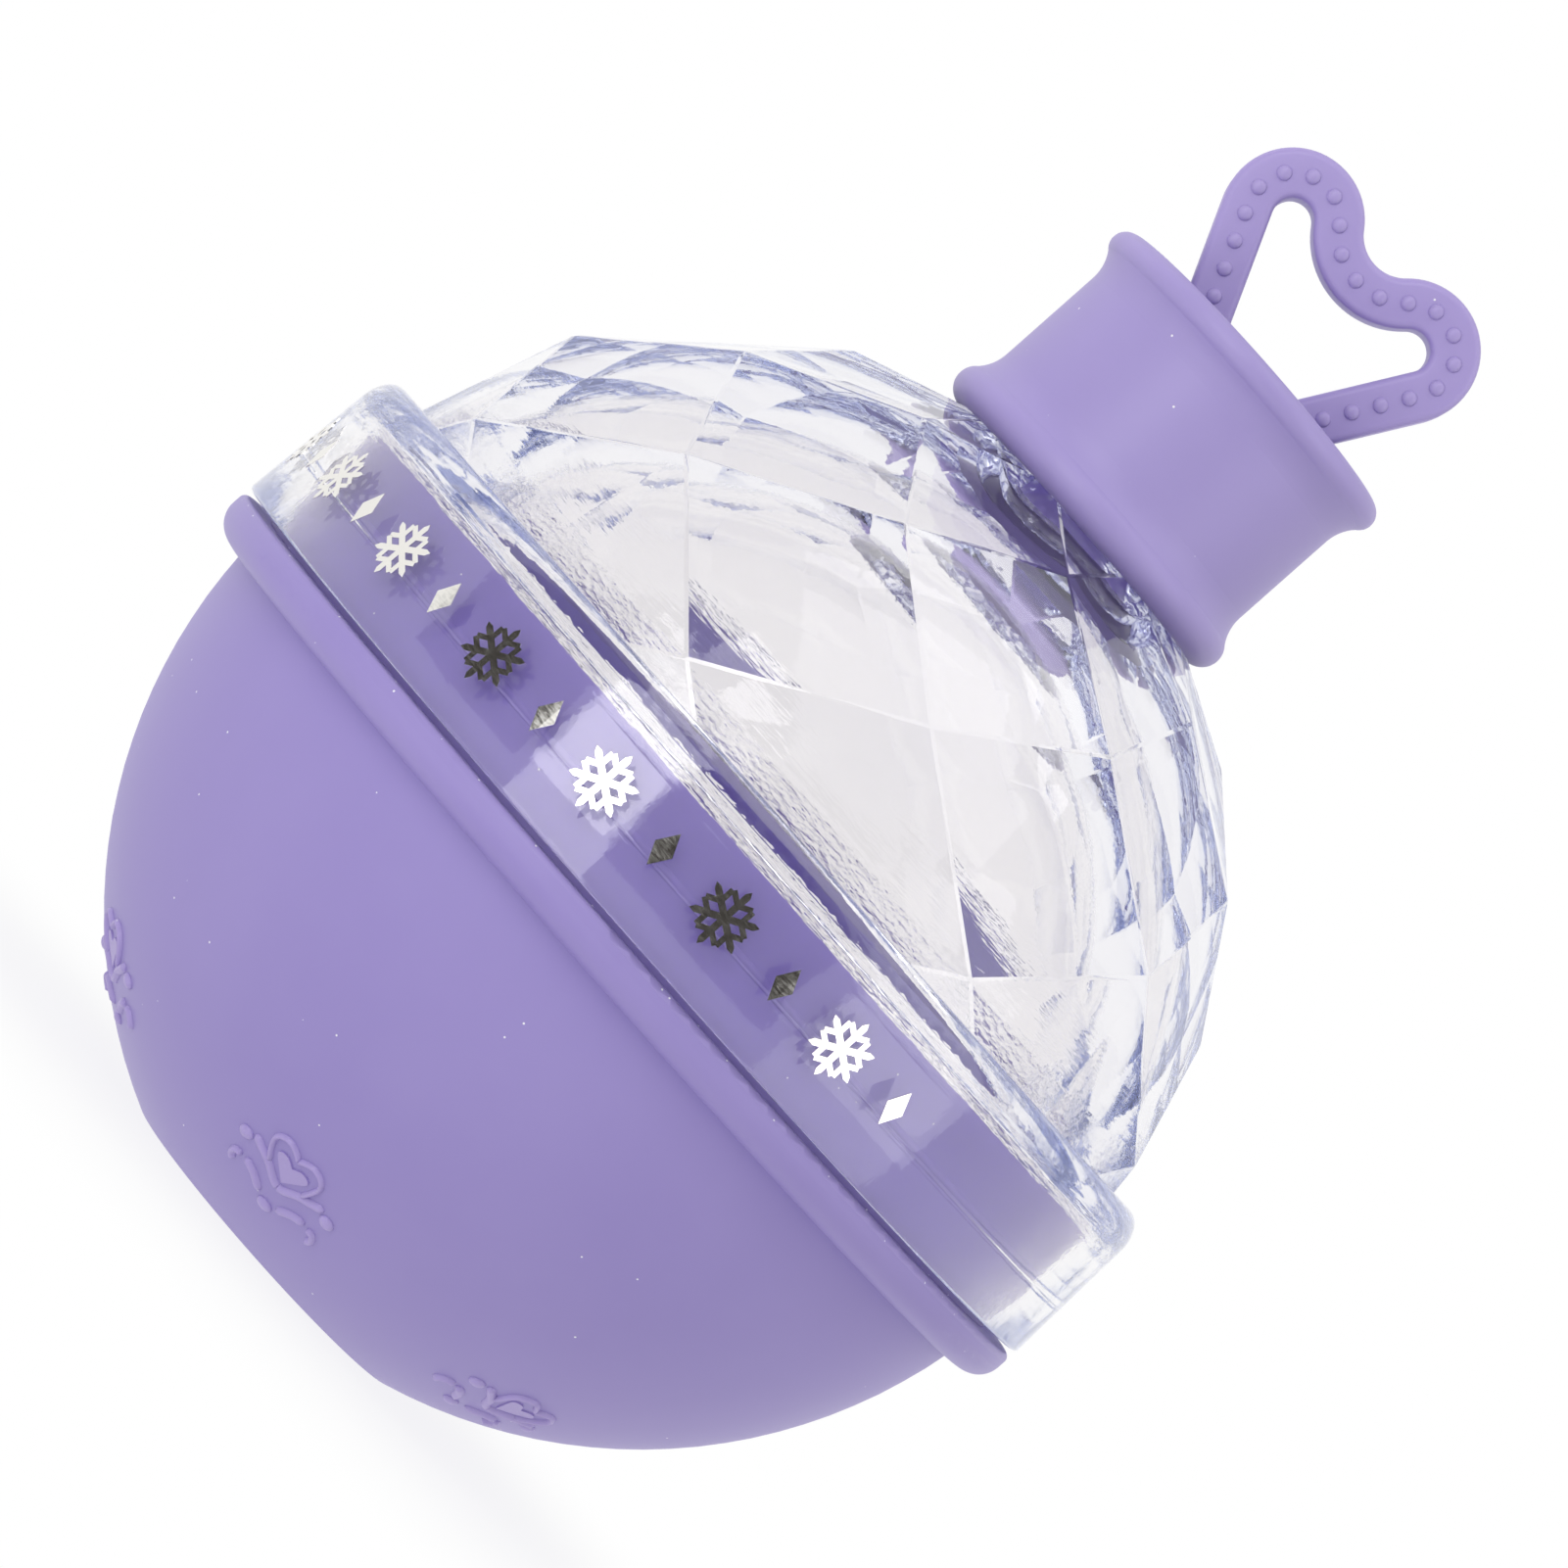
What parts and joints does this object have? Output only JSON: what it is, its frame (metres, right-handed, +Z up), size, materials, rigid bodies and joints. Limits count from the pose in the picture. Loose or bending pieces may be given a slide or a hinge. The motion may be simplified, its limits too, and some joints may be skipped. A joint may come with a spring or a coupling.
{
  "type": "ice ball mold",
  "caption": "Bauble-shaped mold for a round ice ball: soft cup, clear diamond-cut cover that lifts off its collar, and a soft stopper with a heart-shaped pull loop.",
  "frame": {"origin": "centre of the flat foot, on the surface the mold stands on", "axes": "+Z up along the upright axis, from the foot to the pull loop; the heart of the loop lies in the XZ plane"},
  "size_m": [0.0726, 0.0726, 0.0957],
  "materials": {
    "silicone": "matte lilac moulded silicone",
    "clear_plastic": "clear polished polystyrene"
  },
  "bodies": {
    "cup": {"base_cup": "silicone"},
    "cover": {"clear_cover": "clear_plastic"},
    "stopper": {"stopper": "silicone"},
    "loop": {"pull_loop": "silicone"}
  },
  "joints": [
    {"name": "cover_lift", "type": "slide", "parent": "cup", "child": "cover", "axis": [0, 0, 1], "range_m": [0, 0.04]},
    {"name": "stopper_lift", "type": "slide", "parent": "cover", "child": "stopper", "axis": [0, 0, 1], "range_m": [0, 0.02]},
    {"name": "loop_flex", "type": "hinge", "parent": "stopper", "child": "loop", "pos_m": [0, 0, 0.08034], "axis": [1, 0, 0], "range_deg": [-45, 45], "stiffness_Nm_per_rad": 0.005}
  ]
}
